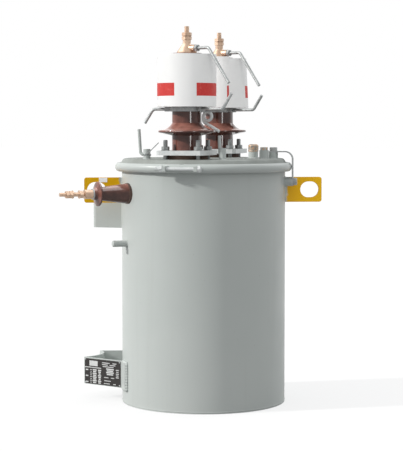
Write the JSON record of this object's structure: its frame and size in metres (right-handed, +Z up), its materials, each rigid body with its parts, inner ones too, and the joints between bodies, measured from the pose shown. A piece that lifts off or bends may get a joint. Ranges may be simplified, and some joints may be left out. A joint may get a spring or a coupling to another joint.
{
  "type": "pole-mounted distribution transformer",
  "caption": "Light grey cylindrical oil tank with a clamped lid, brown porcelain high-voltage bushings with arcing horns, a side low-voltage bushing, lifting lugs and pole brackets.",
  "frame": {"origin": "middle of the flat tank bottom, on the surface that it stands on", "axes": "+Z up along the tank axis, -X towards the pole brackets, -Y towards the front bushing"},
  "size_m": [0.5664, 0.4701, 0.91],
  "materials": {
    "tank_paint": "satin light grey tank paint",
    "yellow_paint": "satin yellow paint",
    "gasket_rubber": "black cork-rubber",
    "brown_glaze": "glossy brown porcelain glaze",
    "bronze": "dull tin bronze",
    "white_card": "plain white card",
    "black_plate": "black anodised plate",
    "galvanised": "hot-dip galvanised steel"
  },
  "bodies": {
    "root": {"bond_bolts": "galvanised", "bond_lid_boss": "tank_paint", "bond_tank_boss": "tank_paint", "clamp_band": "tank_paint", "clamp_band_bolt": "galvanised", "earth_strap": "galvanised", "filler_boss": "tank_paint", "filler_cap": "bronze", "front_hv_collar": "galvanised", "front_hv_eye_horn": "galvanised", "front_hv_flange": "galvanised", "front_hv_lower_horn": "galvanised", "front_hv_porcelain": "brown_glaze", "front_hv_sleeve": "white_card", "front_hv_terminal": "bronze", "front_hv_top_horn": "galvanised", "front_hv_upper_horn": "galvanised", "hv_base_gaskets": "gasket_rubber", "hv_flange_studs": "galvanised", "hv_terminal_nuts": "bronze", "left_lifting_lug": "yellow_paint", "lid": "tank_paint", "lid_gasket": "gasket_rubber", "lid_horns": "tank_paint", "lower_pole_bracket": "tank_paint", "lv_gasket": "gasket_rubber", "lv_nuts": "bronze", "lv_porcelain": "brown_glaze", "lv_terminal": "bronze", "lv_washer": "galvanised", "nameplate": "black_plate", "rear_hv_collar": "galvanised", "rear_hv_flange": "galvanised", "rear_hv_lower_horn": "galvanised", "rear_hv_porcelain": "brown_glaze", "rear_hv_sleeve": "white_card", "rear_hv_terminal": "bronze", "rear_hv_top_horn": "galvanised", "rear_hv_upper_horn": "galvanised", "right_lifting_lug": "yellow_paint", "spare_boss": "tank_paint", "stub_boss": "tank_paint", "tank_bottom": "tank_paint", "tank_shell": "tank_paint", "upper_pole_bracket": "tank_paint"}
  },
  "joints": []
}
